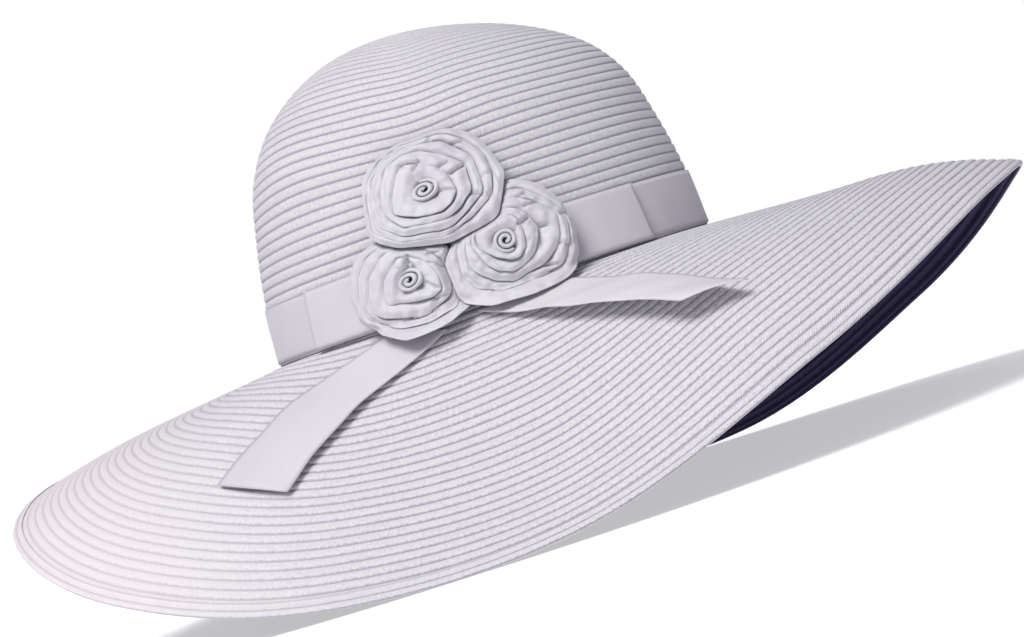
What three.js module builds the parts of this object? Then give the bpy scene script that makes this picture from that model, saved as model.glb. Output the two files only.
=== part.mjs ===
// Floppy sun hat of sewn straw braid: hollow domed crown, wide wavy brim, ribbon band,
// three folded ribbon roses and two ribbon tails.
// Millimetres, +Z up. The hat stands on its brim at z = 0 with the roses towards -Y.
// The origin lies under the middle of the whole hat, at the height it rests on.

import * as THREE from 'three';

// Driving dimensions

const REST_HEIGHT = 95.55; // from the brim's lowest points up to the crown's base
const CROWN_HALF_WIDTH = 93;
const CROWN_HALF_DEPTH = 90;
const STRAW_WALL = 1.8;
const GAP = 0.3; // between neighbouring pieces

const BRIM_WIDTH = 131; // along the straw, from the crown's base to the rim
const EDGE_ROW_WIDTH = 5; // the doubled braid row that finishes the rim
const EDGE_ROW_WALL = 2.6;
const EDGE_FOOT = 0.5; // height of the flat along the edge row's lower corner
const EDGE_SETTLE = 0.35; // stretches this near the surface lie flat on it

const BAND_WIDTH = 22.6;
const FRONT_RIBBON_WIDTH = 23.4;
const RIBBON_WALL = 1;
const BAND_LIFT = 1.2; // the band's lower edge above the crown's base

const AROUND_CROWN = 56;
const AROUND_BRIM = 80;
const BRIM_STEPS = 8;
const SLOPE_STEPS = 48;

const straw = { color: 0xd9d6dc, roughness: 0.8, metalness: 0 };
const edgeStraw = { color: 0xe2e0e4, roughness: 0.8, metalness: 0 };
const ribbon = { color: 0xd4d0dc, roughness: 0.55, metalness: 0 };
const roseRibbon = { color: 0xc9c5d1, roughness: 0.6, metalness: 0 };

// The crown's outer profile, from its base up to its top

const crownProfile = [
  { height: 0, reach: 1 },
  { height: 25, reach: 0.982 },
  { height: 50, reach: 0.935 },
  { height: 72, reach: 0.87 },
  { height: 87.5, reach: 0.765 },
  { height: 98.7, reach: 0.625 },
  { height: 107.6, reach: 0.44 },
  { height: 112.2, reach: 0.27 },
  { height: 114.4, reach: 0.11 },
];
const CROWN_TOP = 115;
const CROWN_LEAN = 0.105; // the top slopes down towards +X
const LEAN_POWER = 4.5;
const DENT_DEPTH = 2.2; // a shallow dent in the front, above the roses
const DENT_AZIMUTH = -112;
const DENT_HEIGHT = 78;

// The brim's fall below level, in degrees, at three places along each spoke

const brimSlopes = [
  { azimuth: -180, atCrown: 6, middle: 12, atRim: 21.5 },
  { azimuth: -150, atCrown: 14.5, middle: 32.5, atRim: 44.5 },
  { azimuth: -120, atCrown: 46, middle: 42, atRim: 46.5 },
  { azimuth: -90, atCrown: 35.5, middle: 53.5, atRim: 34.5 },
  { azimuth: -60, atCrown: 11, middle: 25.5, atRim: 45 },
  { azimuth: -30, atCrown: 2.5, middle: 6.5, atRim: 24 },
  { azimuth: 0, atCrown: 12, middle: -2, atRim: 27.5 },
  { azimuth: 30, atCrown: 19, middle: 22, atRim: 41 },
  { azimuth: 60, atCrown: 48.5, middle: 46.5, atRim: 36 },
  { azimuth: 90, atCrown: 50, middle: 47, atRim: 30 },
  { azimuth: 120, atCrown: 24, middle: 24.5, atRim: 26.5 },
  { azimuth: 150, atCrown: 5, middle: 6, atRim: 13.5 },
];

// The roses: place of the middle on the crown, size, and the corners of the outer fold

const roses = [
  { name: 'rose_upper', azimuth: -96.5, height: 45, halfWidth: 29, halfHeight: 25, rise: 13, corners: 6, turn: 20 },
  { name: 'rose_right', azimuth: -82.5, height: 16, halfWidth: 27, halfHeight: 23, rise: 12, corners: 6, turn: 50 },
  { name: 'rose_left', azimuth: -107.5, height: 15, halfWidth: 24, halfHeight: 22, rise: 11, corners: 5, turn: 10 },
];
const ROSE_EDGE = 3.4; // thickness at the outer fold
const ROSE_TURNS = 3; // folds between the bud and the outer edge
const ROSE_FOLD = 1.1;

// The tails: both edges of each ribbon, measured out along the brim and up off it

const leftTail = {
  left: [
    { azimuth: -120, reach: 7, lift: 1.2 },
    { azimuth: -130.5, reach: 19, lift: 1.3 },
    { azimuth: -136.5, reach: 32.5, lift: 1.5 },
    { azimuth: -139.3, reach: 54, lift: 1.5 },
    { azimuth: -141.3, reach: 75, lift: 1.5 },
  ],
  right: [
    { azimuth: -106, reach: 18.5, lift: 1.6 },
    { azimuth: -118, reach: 33, lift: 2.6 },
    { azimuth: -123, reach: 45.5, lift: 3 },
    { azimuth: -126.8, reach: 61, lift: 3 },
    { azimuth: -129, reach: 77.5, lift: 2.6 },
  ],
};
const rightTail = {
  left: [
    { azimuth: -86.8, reach: 21.5, lift: 3.2 },
    { azimuth: -82.5, reach: 29.5, lift: 6 },
    { azimuth: -78.8, reach: 38, lift: 7.5 },
    { azimuth: -75, reach: 48.3, lift: 9 },
    { azimuth: -71.2, reach: 61.8, lift: 10 },
    { azimuth: -68, reach: 78.8, lift: 11 },
  ],
  right: [
    { azimuth: -73.2, reach: 15.5, lift: 1.4 },
    { azimuth: -68.5, reach: 29.5, lift: 1.7 },
    { azimuth: -65.5, reach: 40, lift: 2 },
    { azimuth: -63, reach: 55.5, lift: 2.6 },
    { azimuth: -61.5, reach: 73, lift: 4 },
    { azimuth: -60, reach: 89, lift: 6.5 },
  ],
};

// Shared maths

const radians = THREE.MathUtils.degToRad;

function smooth(before, from, to, after, share) {
  const linear = (to - before) * share;
  const square = (2 * before - 5 * from + 4 * to - after) * share * share;
  const cube = (3 * from - before - 3 * to + after) * share ** 3;
  return from + (linear + square + cube) / 2;
}

function bump(distance, width) {
  return Math.exp(-((distance / width) ** 2));
}

// Crown surface: height above the base before the lean, azimuth in degrees, offset outwards

const profileCurve = new THREE.CatmullRomCurve3(
  [...crownProfile.map(({ height, reach }) => new THREE.Vector3(reach * CROWN_HALF_WIDTH, 0, height)),
    new THREE.Vector3(0, 0, CROWN_TOP)],
);

function crownPoint(share, azimuth, offset = 0) {
  const at = profileCurve.getPointAt(share);
  const along = profileCurve.getTangentAt(share);
  const level = at.z - offset * along.x;
  const out = Math.max(at.x + offset * along.z, 0);
  const angle = radians(azimuth);
  const side = THREE.MathUtils.euclideanModulo(azimuth - DENT_AZIMUTH + 180, 360) - 180;
  const dent = DENT_DEPTH * bump(side, 22) * bump(level - DENT_HEIGHT, 20);
  const depthScale = CROWN_HALF_DEPTH / CROWN_HALF_WIDTH;
  const x = (out - dent) * Math.cos(angle);
  const y = (out - dent) * Math.sin(angle) * depthScale;
  const fall = CROWN_LEAN * x * Math.max(level / CROWN_TOP, 0) ** LEAN_POWER;
  return new THREE.Vector3(x, y, REST_HEIGHT + level - fall);
}

function crownShareAtHeight(height) {
  let low = 0;
  let high = 1;
  for (let step = 0; step < 30; step += 1) {
    const middle = (low + high) / 2;
    if (profileCurve.getPointAt(middle).z < height) low = middle;
    else high = middle;
  }
  return low;
}

// Brim surface: reach along the straw, azimuth in degrees, lift off the upper face

function slopesAt(azimuth) {
  const place = THREE.MathUtils.euclideanModulo(azimuth + 180, 360) / 30;
  const index = Math.floor(place);
  const row = (offset) => brimSlopes[(index + offset + brimSlopes.length) % brimSlopes.length];
  const value = (key) => smooth(row(-1)[key], row(0)[key], row(1)[key], row(2)[key], place - index);
  return [value('atCrown'), value('middle'), value('atRim')];
}

function slopeAlong(slopes, reach) {
  const share = THREE.MathUtils.clamp(reach / BRIM_WIDTH, 0, 1) * 2;
  const first = Math.min(Math.floor(share), 1);
  return radians(THREE.MathUtils.lerp(slopes[first], slopes[first + 1], share - first));
}

function brimPoint(reach, azimuth, lift = 0) {
  const slopes = slopesAt(azimuth);
  const step = reach / SLOPE_STEPS;
  let out = 0;
  let drop = 0;
  for (let count = 0; count < SLOPE_STEPS; count += 1) {
    const slope = slopeAlong(slopes, (count + 0.5) * step);
    out += Math.cos(slope) * step;
    drop += Math.sin(slope) * step;
  }
  const end = slopeAlong(slopes, reach);
  const angle = radians(azimuth);
  const level = REST_HEIGHT - drop + lift * Math.cos(end);
  const radius = out + lift * Math.sin(end);
  const x = (CROWN_HALF_WIDTH + radius) * Math.cos(angle);
  const y = (CROWN_HALF_DEPTH + radius) * Math.sin(angle);
  return new THREE.Vector3(x, y, level);
}

// Closed bodies from rows of points

function bodyFrom(points, triangles) {
  const geometry = new THREE.BufferGeometry();
  const flat = points.flatMap((point) => [point.x, point.y, point.z]);
  geometry.setAttribute('position', new THREE.Float32BufferAttribute(flat, 3));
  geometry.setIndex(triangles);
  geometry.computeVertexNormals();
  return geometry;
}

function joinRows(triangles, first, second, count) {
  for (let index = 0; index < count; index += 1) {
    const next = (index + 1) % count;
    triangles.push(first + index, second + index, second + next);
    triangles.push(first + index, second + next, first + next);
  }
}

// A ring of sections that closes on itself, as a brim or a band does
function ringBody(sections) {
  const count = sections[0].length;
  const triangles = [];
  sections.forEach((section, index) => {
    const next = (index + 1) % sections.length;
    joinRows(triangles, index * count, next * count, count);
  });
  return bodyFrom(sections.flat(), triangles);
}

// A strip of sections closed at both ends, each section's front points then its back points
function stripBody(sections) {
  const count = sections[0].length;
  const last = (sections.length - 1) * count;
  const triangles = [];
  for (let index = 0; index + 1 < sections.length; index += 1) {
    joinRows(triangles, index * count, (index + 1) * count, count);
  }
  for (let index = 0; index + 1 < count / 2; index += 1) {
    const across = count - 1 - index;
    triangles.push(index, index + 1, across - 1, index, across - 1, across);
    triangles.push(last + index, last + across - 1, last + index + 1);
    triangles.push(last + index, last + across, last + across - 1);
  }
  return bodyFrom(sections.flat(), triangles);
}

// Rings between two single points, as a dome or a bud has
function domeBody(start, rings, end) {
  const count = rings[0].length;
  const triangles = [];
  const firstRing = 1;
  const lastRing = 1 + (rings.length - 1) * count;
  const finish = lastRing + count;
  for (let index = 0; index < count; index += 1) {
    const next = (index + 1) % count;
    triangles.push(0, firstRing + index, firstRing + next);
    triangles.push(finish, lastRing + next, lastRing + index);
  }
  for (let index = 0; index + 1 < rings.length; index += 1) {
    joinRows(triangles, 1 + index * count, 1 + (index + 1) * count, count);
  }
  return bodyFrom([start, ...rings.flat(), end], triangles);
}

function range(count, make) {
  return Array.from({ length: count }, (unused, index) => make(index));
}

function addPiece(group, name, finish, geometry) {
  const mesh = new THREE.Mesh(geometry, new THREE.MeshStandardMaterial(finish));
  mesh.name = name;
  group.add(mesh);
}

// Crown: a hollow dome, open below

function crownGeometry() {
  const shares = [0, 0.13, 0.26, 0.4, 0.53, 0.65, 0.76, 0.86, 0.94];
  const ring = (share, offset) => range(AROUND_CROWN, (index) => {
    const point = crownPoint(share, (360 * index) / AROUND_CROWN, offset);
    return share === 0 ? point.setZ(REST_HEIGHT + GAP / 2) : point;
  });
  const outer = shares.map((share) => ring(share, 0)).reverse();
  const inner = shares.map((share) => ring(share, -STRAW_WALL));
  return domeBody(crownPoint(1, 0, 0), [...outer, ...inner], crownPoint(1, 0, -STRAW_WALL));
}

// Brim: a wavy shell whose inner ring lies under the crown's foot

function brimGeometry() {
  const width = BRIM_WIDTH - EDGE_ROW_WIDTH - GAP;
  const reaches = range(BRIM_STEPS + 1, (index) => (width * index) / BRIM_STEPS);
  const foot = (azimuth, level) => {
    const angle = radians(azimuth);
    const x = (CROWN_HALF_WIDTH - STRAW_WALL) * Math.cos(angle);
    const y = (CROWN_HALF_DEPTH - STRAW_WALL) * Math.sin(angle);
    return new THREE.Vector3(x, y, REST_HEIGHT + level);
  };
  return ringBody(range(AROUND_BRIM, (index) => {
    const azimuth = (360 * index) / AROUND_BRIM;
    const upper = reaches.map((reach) => brimPoint(reach, azimuth, -GAP / 2));
    const lower = reaches.map((reach) => brimPoint(reach, azimuth, -GAP / 2 - STRAW_WALL)).reverse();
    return [foot(azimuth, -GAP / 2), ...upper, ...lower, foot(azimuth, -GAP / 2 - STRAW_WALL)].reverse();
  }));
}

// Edge row: the doubled braid round the rim, which the hat stands on

function brimEdgeGeometry() {
  const inner = BRIM_WIDTH - EDGE_ROW_WIDTH;
  const above = GAP;
  const below = above - EDGE_ROW_WALL;
  const raised = (corner, end) => {
    const point = corner.clone().lerp(end, EDGE_FOOT / (end.z - corner.z));
    return point.setZ(point.z < EDGE_SETTLE ? 0 : point.z);
  };
  return ringBody(range(AROUND_BRIM, (index) => {
    const azimuth = (360 * index) / AROUND_BRIM;
    const innerLow = brimPoint(inner, azimuth, below);
    const outerLow = brimPoint(BRIM_WIDTH, azimuth, below);
    const outerHigh = brimPoint(BRIM_WIDTH, azimuth, above);
    const innerHigh = brimPoint(inner, azimuth, above);
    return [innerLow, raised(outerLow, innerLow), raised(outerLow, outerHigh), outerHigh, innerHigh];
  }));
}

// Ribbons that lie round the crown

function wrappedSection(azimuth, low, high, offsetLow, offsetHigh) {
  const lower = crownShareAtHeight(low);
  const upper = crownShareAtHeight(high);
  return [
    crownPoint(upper, azimuth, offsetHigh + RIBBON_WALL),
    crownPoint(lower, azimuth, offsetLow + RIBBON_WALL),
    crownPoint(lower, azimuth, offsetLow),
    crownPoint(upper, azimuth, offsetHigh),
  ];
}

function hatBandGeometry() {
  const high = BAND_LIFT + BAND_WIDTH;
  return ringBody(range(AROUND_CROWN, (index) => {
    const azimuth = (360 * index) / AROUND_CROWN;
    return wrappedSection(azimuth, BAND_LIFT, high, GAP, GAP);
  }).reverse());
}

const FRONT_RIBBON_FROM = -140;
const FRONT_RIBBON_TO = -46;
const FRONT_RIBBON_LIFT = 0.7; // its lower edge above the crown's base
const FRONT_RIBBON_STAND_OFF = 1.6; // its lower edge stands off the band

function frontRibbonGeometry() {
  const steps = 22;
  const flush = GAP + RIBBON_WALL + GAP;
  return stripBody(range(steps + 1, (index) => {
    const azimuth = THREE.MathUtils.lerp(FRONT_RIBBON_FROM, FRONT_RIBBON_TO, index / steps);
    const low = FRONT_RIBBON_LIFT;
    const high = low + FRONT_RIBBON_WIDTH;
    return wrappedSection(azimuth, low, high, flush + FRONT_RIBBON_STAND_OFF, flush);
  }).reverse());
}

// Roses: a bud with spiral folds and a cornered outer fold, wrapped against the crown

function roseReach(rose, angle) {
  const turned = angle + radians(rose.turn);
  const slice = (2 * Math.PI) / rose.corners;
  const offCorner = THREE.MathUtils.euclideanModulo(turned, slice) - slice / 2;
  const polygon = Math.cos(slice / 2) / Math.cos(offCorner);
  return THREE.MathUtils.lerp(1, polygon, 0.55);
}

function roseEdgeAt(rose, angle) {
  const reach = roseReach(rose, angle);
  return { across: rose.halfWidth * reach * Math.cos(angle), up: rose.halfHeight * reach * Math.sin(angle) };
}

function insideRose(rose, across, up, margin) {
  const angle = Math.atan2(up / rose.halfHeight, across / rose.halfWidth);
  const edge = roseEdgeAt(rose, angle);
  return Math.hypot(across, up) < Math.hypot(edge.across, edge.up) + margin;
}

function roseOffsetFrom(rose, other, across, up) {
  const perDegree = radians(CROWN_HALF_WIDTH);
  return {
    across: across + (rose.azimuth - other.azimuth) * perDegree,
    up: up + rose.height - other.height,
  };
}

// How far out a rose goes at one angle before it meets a rose that lies over it
function roseShareAt(rose, overlying, angle) {
  const edge = roseEdgeAt(rose, angle);
  const steps = 60;
  for (let step = 1; step <= steps; step += 1) {
    const share = step / steps;
    const blocked = overlying.some((other) => {
      const place = roseOffsetFrom(rose, other, edge.across * share, edge.up * share);
      return insideRose(other, place.across, place.up, 1.2);
    });
    if (blocked) return (step - 1) / steps;
  }
  return 1;
}

const ROSE_SEAT = 5.2; // clear of the band and the front ribbon
const ROSE_SEAT_ABOVE = 1; // against the bare crown higher up
const ROSE_SEAT_FROM = 28.2; // heights between which the one turns into the other
const ROSE_SEAT_TO = 44;
const ROSE_FLARE = 1.5; // outwards over the brim, for each millimetre below the crown's base

function rosePoint(rose, across, up, thickness) {
  const height = rose.height + up;
  const azimuth = rose.azimuth + across / radians(CROWN_HALF_WIDTH);
  const aboveBand = THREE.MathUtils.smoothstep(height, ROSE_SEAT_FROM, ROSE_SEAT_TO);
  const seat = THREE.MathUtils.lerp(ROSE_SEAT, ROSE_SEAT_ABOVE, aboveBand);
  if (height >= 0) {
    return crownPoint(crownShareAtHeight(height), azimuth, seat + thickness);
  }
  const flare = -height * ROSE_FLARE;
  return crownPoint(0, azimuth, seat + flare + thickness).setZ(REST_HEIGHT + height);
}

function roseGeometry(rose, overlying) {
  const around = 30;
  const frontRings = 9;
  const backRings = 2;
  const angles = range(around, (index) => (2 * Math.PI * index) / around);
  const limits = angles.map((angle) => roseShareAt(rose, overlying, angle));
  const ring = (share, thicknessAt) => angles.map((angle, index) => {
    const edge = roseEdgeAt(rose, angle);
    const out = share * limits[index];
    const thickness = thicknessAt(out, angle);
    return rosePoint(rose, edge.across * out, edge.up * out, thickness);
  });
  const front = (out, angle) => {
    const bud = (rose.rise - ROSE_EDGE) * (1 - out ** 1.6);
    const fold = (out * ROSE_TURNS + angle / (2 * Math.PI)) % 1;
    return ROSE_EDGE + bud + ROSE_FOLD * (fold - 0.5);
  };
  const frontRows = range(frontRings, (index) => ring((index + 1) / frontRings, front));
  const backRows = range(backRings, (index) => ring((backRings - index) / backRings * 0.97, () => 0));
  const middle = rosePoint(rose, 0, 0, rose.rise - 2);
  return domeBody(middle, [...frontRows, ...backRows], rosePoint(rose, 0, 0, 0));
}

// Tails: flat ribbon ends laid along the brim, cut on the slant

const TAIL_STEPS = 10;
const TAIL_COLUMNS = [0, 1 / 3, 2 / 3, 1]; // across the ribbon, from its left edge to its right

function tailGeometry(tail) {
  const edgeOf = (places) => new THREE.CatmullRomCurve3(
    places.map(({ azimuth, reach, lift }) => new THREE.Vector3(azimuth, reach, lift)),
  );
  const left = edgeOf(tail.left);
  const right = edgeOf(tail.right);
  return stripBody(range(TAIL_STEPS + 1, (index) => {
    const share = index / TAIL_STEPS;
    const column = (side, level) => {
      const at = left.getPoint(share).lerp(right.getPoint(share), side);
      return brimPoint(at.y, at.x, at.z + level);
    };
    const upper = TAIL_COLUMNS.map((side) => column(side, RIBBON_WALL));
    const lower = TAIL_COLUMNS.map((side) => column(side, 0)).reverse();
    return [...upper, ...lower];
  }));
}

// Assembly

const hat = new THREE.Group();
addPiece(hat, 'crown', straw, crownGeometry());
addPiece(hat, 'brim', straw, brimGeometry());
addPiece(hat, 'brim_edge', edgeStraw, brimEdgeGeometry());
addPiece(hat, 'hat_band', ribbon, hatBandGeometry());
addPiece(hat, 'front_ribbon', ribbon, frontRibbonGeometry());
roses.forEach((rose, index) => {
  addPiece(hat, rose.name, roseRibbon, roseGeometry(rose, roses.slice(0, index)));
});
addPiece(hat, 'tail_left', ribbon, tailGeometry(leftTail));
addPiece(hat, 'tail_right', ribbon, tailGeometry(rightTail));

// The origin goes under the middle of the hat's box
const middle = new THREE.Box3().setFromObject(hat).getCenter(new THREE.Vector3());
hat.position.set(-middle.x, -middle.y, 0);

export default hat;
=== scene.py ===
# Floppy sun hat: sewn straw braid, ribbon band, three folded ribbon roses and two ribbon tails.
# Lengths are in millimetres until a mesh is written, and the hat stands on its brim at z = 0.

import math

import bpy
import numpy as np
from mathutils import Matrix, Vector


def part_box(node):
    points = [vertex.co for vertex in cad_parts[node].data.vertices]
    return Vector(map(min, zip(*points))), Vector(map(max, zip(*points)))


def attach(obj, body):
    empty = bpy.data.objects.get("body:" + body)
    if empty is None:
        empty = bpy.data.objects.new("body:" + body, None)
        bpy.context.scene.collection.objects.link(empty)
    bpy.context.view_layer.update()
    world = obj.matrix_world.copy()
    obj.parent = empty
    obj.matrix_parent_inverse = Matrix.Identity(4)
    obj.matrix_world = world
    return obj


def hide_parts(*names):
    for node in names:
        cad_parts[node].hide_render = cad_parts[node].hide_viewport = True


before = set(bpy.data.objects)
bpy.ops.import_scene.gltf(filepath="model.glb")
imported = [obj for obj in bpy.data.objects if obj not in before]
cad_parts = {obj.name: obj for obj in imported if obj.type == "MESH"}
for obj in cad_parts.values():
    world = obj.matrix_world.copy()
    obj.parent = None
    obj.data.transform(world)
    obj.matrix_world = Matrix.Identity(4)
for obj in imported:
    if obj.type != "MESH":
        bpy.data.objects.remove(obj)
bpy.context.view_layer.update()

MM = 0.001

# Where the hat stands

crown_low, crown_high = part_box("crown")
HAT_X = (crown_low.x + crown_high.x) / 2 / MM
HAT_Y = (crown_low.y + crown_high.y) / 2 / MM
REST_HEIGHT = 95.55  # from the surface it rests on up to the crown's base

# Crown and brim sizes

CROWN_HALF_WIDTH = 93
CROWN_HALF_DEPTH = 90
CROWN_TOP = 115
CROWN_LEAN = 0.105
LEAN_POWER = 4.5
DENT_DEPTH = 2.2
DENT_AZIMUTH = -112
DENT_SPREAD = 22  # in degrees round the crown
DENT_HEIGHT = 78
DENT_RISE = 20  # how far it reaches up and down
BRIM_WIDTH = 131
BRIM_SPREAD = 0.85  # how far out the falling brim goes for each millimetre of straw
EDGE_ROW_WIDTH = 5
GAP = 0.3
OUTLINE_STEPS = 60  # from one height of the profile to the next
BRIM_RUN_STEPS = 48  # along a spoke of the brim

CROWN_PROFILE = [
    {"height": 0, "reach": 1},
    {"height": 25, "reach": 0.982},
    {"height": 50, "reach": 0.935},
    {"height": 72, "reach": 0.87},
    {"height": 87.5, "reach": 0.765},
    {"height": 98.7, "reach": 0.625},
    {"height": 107.6, "reach": 0.44},
    {"height": 112.2, "reach": 0.27},
    {"height": 114.4, "reach": 0.11},
    {"height": 115, "reach": 0},
]

# The brim's fall below level, in degrees, at three places along each spoke
BRIM_SLOPES = [
    {"azimuth": -180, "at_crown": 6, "middle": 12, "at_rim": 21.5},
    {"azimuth": -150, "at_crown": 14.5, "middle": 32.5, "at_rim": 44.5},
    {"azimuth": -120, "at_crown": 46, "middle": 42, "at_rim": 46.5},
    {"azimuth": -90, "at_crown": 35.5, "middle": 53.5, "at_rim": 34.5},
    {"azimuth": -60, "at_crown": 11, "middle": 25.5, "at_rim": 45},
    {"azimuth": -30, "at_crown": 2.5, "middle": 6.5, "at_rim": 24},
    {"azimuth": 0, "at_crown": 12, "middle": -2, "at_rim": 27.5},
    {"azimuth": 30, "at_crown": 19, "middle": 22, "at_rim": 41},
    {"azimuth": 60, "at_crown": 48.5, "middle": 46.5, "at_rim": 36},
    {"azimuth": 90, "at_crown": 50, "middle": 47, "at_rim": 30},
    {"azimuth": 120, "at_crown": 24, "middle": 24.5, "at_rim": 26.5},
    {"azimuth": 150, "at_crown": 5, "middle": 6, "at_rim": 13.5},
]

# Braid, ribbon and roses

BRAID_PITCH = 4.08  # from one sewn row to the next
BRAID_WALL = 1.2
STRAND_WIDTH = 1.05
RIBBON_WIDTH = 26
BAND_WIDTH = 22.6
FRONT_WIDTH = 23.4
RIBBON_WALL = 0.45
BAND_LIFT = 1.2

# Camera

CAMERA_DISTANCE = 1300
CAMERA_BELOW_BASE = 21.4
CAMERA_YAW = 0.164  # in degrees
CAMERA_PITCH = 0.4555
CAMERA_ROLL = 18.5
CAMERA_LENS = 110.42
CAMERA_SENSOR = 36


# Surfaces that the pieces lie on


def smooth_between(before, start, end, after, share):
    linear = (end - before) * share
    square = (2 * before - 5 * start + 4 * end - after) * share**2
    cube = (3 * start - before - 3 * end + after) * share**3
    return start + (linear + square + cube) / 2


def smooth_step(value, low, high):
    share = np.clip((value - low) / (high - low), 0, 1)
    return share * share * (3 - 2 * share)


def azimuth_from(azimuth, middle):
    return (azimuth - middle + 180) % 360 - 180


def column_of(table, key):
    return np.array([float(row[key]) for row in table])


def crown_outline():
    """The crown's profile as close points, with how far each lies along it."""
    knots = np.array([(row["reach"] * CROWN_HALF_WIDTH, row["height"]) for row in CROWN_PROFILE])
    knots = np.vstack([2 * knots[0] - knots[1], knots, 2 * knots[-1] - knots[-2]])
    points = []
    for before, start, end, after in zip(knots, knots[1:], knots[2:], knots[3:]):
        first, second, third = (
            np.linalg.norm(b - a) ** 0.5 for a, b in ((before, start), (start, end), (end, after))
        )
        leave = (start - before) / first - (end - before) / (first + second) + (end - start) / second
        arrive = (end - start) / second - (after - start) / (second + third) + (after - end) / third
        leave, arrive = leave * second, arrive * second
        share = np.linspace(0, 1, OUTLINE_STEPS + 1)[:, None]
        square = (-3 * start + 3 * end - 2 * leave - arrive) * share**2
        cube = (2 * start - 2 * end + leave + arrive) * share**3
        points.append((start + leave * share + square + cube)[:-1])
    points = np.vstack([*points, knots[-2][None]])
    lengths = np.r_[0, np.cumsum(np.linalg.norm(np.diff(points, axis=0), axis=1))]
    return points, lengths


OUTLINE, OUTLINE_LENGTHS = crown_outline()
OUTLINE_TANGENTS = np.gradient(OUTLINE, OUTLINE_LENGTHS, axis=0)
CROWN_LENGTH = OUTLINE_LENGTHS[-1]


def along_outline(table, column, length):
    return np.interp(length, OUTLINE_LENGTHS, table[:, column])


def crown_point(length, azimuth, offset=0.0):
    """A point on the crown, length up its outline from the base, offset outwards."""
    reach, height = along_outline(OUTLINE, 0, length), along_outline(OUTLINE, 1, length)
    out_x, out_z = along_outline(OUTLINE_TANGENTS, 0, length), along_outline(OUTLINE_TANGENTS, 1, length)
    level = height - offset * out_x
    out = np.maximum(reach + offset * out_z, 0)
    angle = np.radians(azimuth)
    dent = DENT_DEPTH * np.exp(-((azimuth_from(azimuth, DENT_AZIMUTH) / DENT_SPREAD) ** 2))
    dent = dent * np.exp(-(((level - DENT_HEIGHT) / DENT_RISE) ** 2))
    x = (out - dent) * np.cos(angle)
    y = (out - dent) * np.sin(angle) * CROWN_HALF_DEPTH / CROWN_HALF_WIDTH
    fall = CROWN_LEAN * x * np.maximum(level / CROWN_TOP, 0) ** LEAN_POWER
    return np.stack([x + HAT_X, y + HAT_Y, REST_HEIGHT + level - fall], -1)


def length_at_height(height):
    return np.interp(height, OUTLINE[:, 1], OUTLINE_LENGTHS)


def brim_slopes_at(azimuth):
    place = ((azimuth + 180) % 360) / 30
    index = np.floor(place).astype(int)
    columns = []
    for key in ("at_crown", "middle", "at_rim"):
        table = column_of(BRIM_SLOPES, key)
        near = [table[(index + step) % len(table)] for step in (-1, 0, 1, 2)]
        columns.append(smooth_between(*near, place - index))
    return columns


def slope_along(slopes, reach):
    share = np.clip(reach / BRIM_WIDTH, 0, 1) * 2
    first = slopes[0] + (slopes[1] - slopes[0]) * np.minimum(share, 1)
    return np.radians(first + (slopes[2] - slopes[1]) * np.maximum(share - 1, 0))


def brim_run(slopes, reach):
    """How far out and how far down the straw has gone at each reach along it."""
    step = reach / BRIM_RUN_STEPS
    out, drop = np.zeros_like(reach), np.zeros_like(reach)
    for count in range(BRIM_RUN_STEPS):
        slope = slope_along(slopes, (count + 0.5) * step)
        out += np.cos(slope) * step
        drop += np.sin(slope) * step
    return out, drop


def brim_point(reach, azimuth, lift=0.0):
    slopes = brim_slopes_at(azimuth)
    out, drop = brim_run(slopes, reach)
    end = slope_along(slopes, reach)
    radius = out + lift * np.sin(end)
    angle = np.radians(azimuth)
    x = (CROWN_HALF_WIDTH + radius) * np.cos(angle)
    y = (CROWN_HALF_DEPTH + radius) * np.sin(angle)
    return np.stack([x + HAT_X, y + HAT_Y, REST_HEIGHT - drop + lift * np.cos(end)], -1)


# Shaping meshes

SEAM_REACH = 0.00002  # in metres: points this near to each other are one

def deselect_all():
    if bpy.context.mode != "OBJECT":
        bpy.ops.object.mode_set(mode="OBJECT")
    bpy.ops.object.select_all(action="DESELECT")


def vertices_of(piece):
    points = np.zeros(len(piece.data.vertices) * 3)
    piece.data.vertices.foreach_get("co", points)
    return points.reshape(-1, 3)


def grid_piece(name, around, along, place):
    """A flat grid of faces, laid where place(u, v) puts each of its points."""
    deselect_all()
    bpy.ops.mesh.primitive_grid_add(x_subdivisions=around, y_subdivisions=along, size=1)
    piece = bpy.context.object
    piece.name = piece.data.name = name
    flat = vertices_of(piece)
    points = place(flat[:, 0] + 0.5, flat[:, 1] + 0.5) * MM
    piece.data.vertices.foreach_set("co", points.ravel())
    piece.data.update()
    return piece


def map_cloth(piece, name, coordinates):
    """Rewrites the grid's own map: coordinates(u, v) gets four corners a face."""
    layer = piece.data.uv_layers[0]
    layer.name = name
    flat = np.zeros(len(layer.data) * 2)
    layer.data.foreach_get("uv", flat)
    flat = flat.reshape(-1, 4, 2)
    layer.data.foreach_set("uv", np.stack(coordinates(flat[..., 0], flat[..., 1]), -1).ravel())


def close_seams(piece, flip=False):
    deselect_all()
    piece.select_set(True)
    bpy.context.view_layer.objects.active = piece
    bpy.ops.object.mode_set(mode="EDIT")
    bpy.ops.mesh.select_all(action="SELECT")
    bpy.ops.mesh.remove_doubles(threshold=SEAM_REACH)
    bpy.ops.mesh.dissolve_degenerate(threshold=SEAM_REACH / 2)
    if flip:
        bpy.ops.mesh.flip_normals()
    bpy.ops.object.mode_set(mode="OBJECT")


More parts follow.
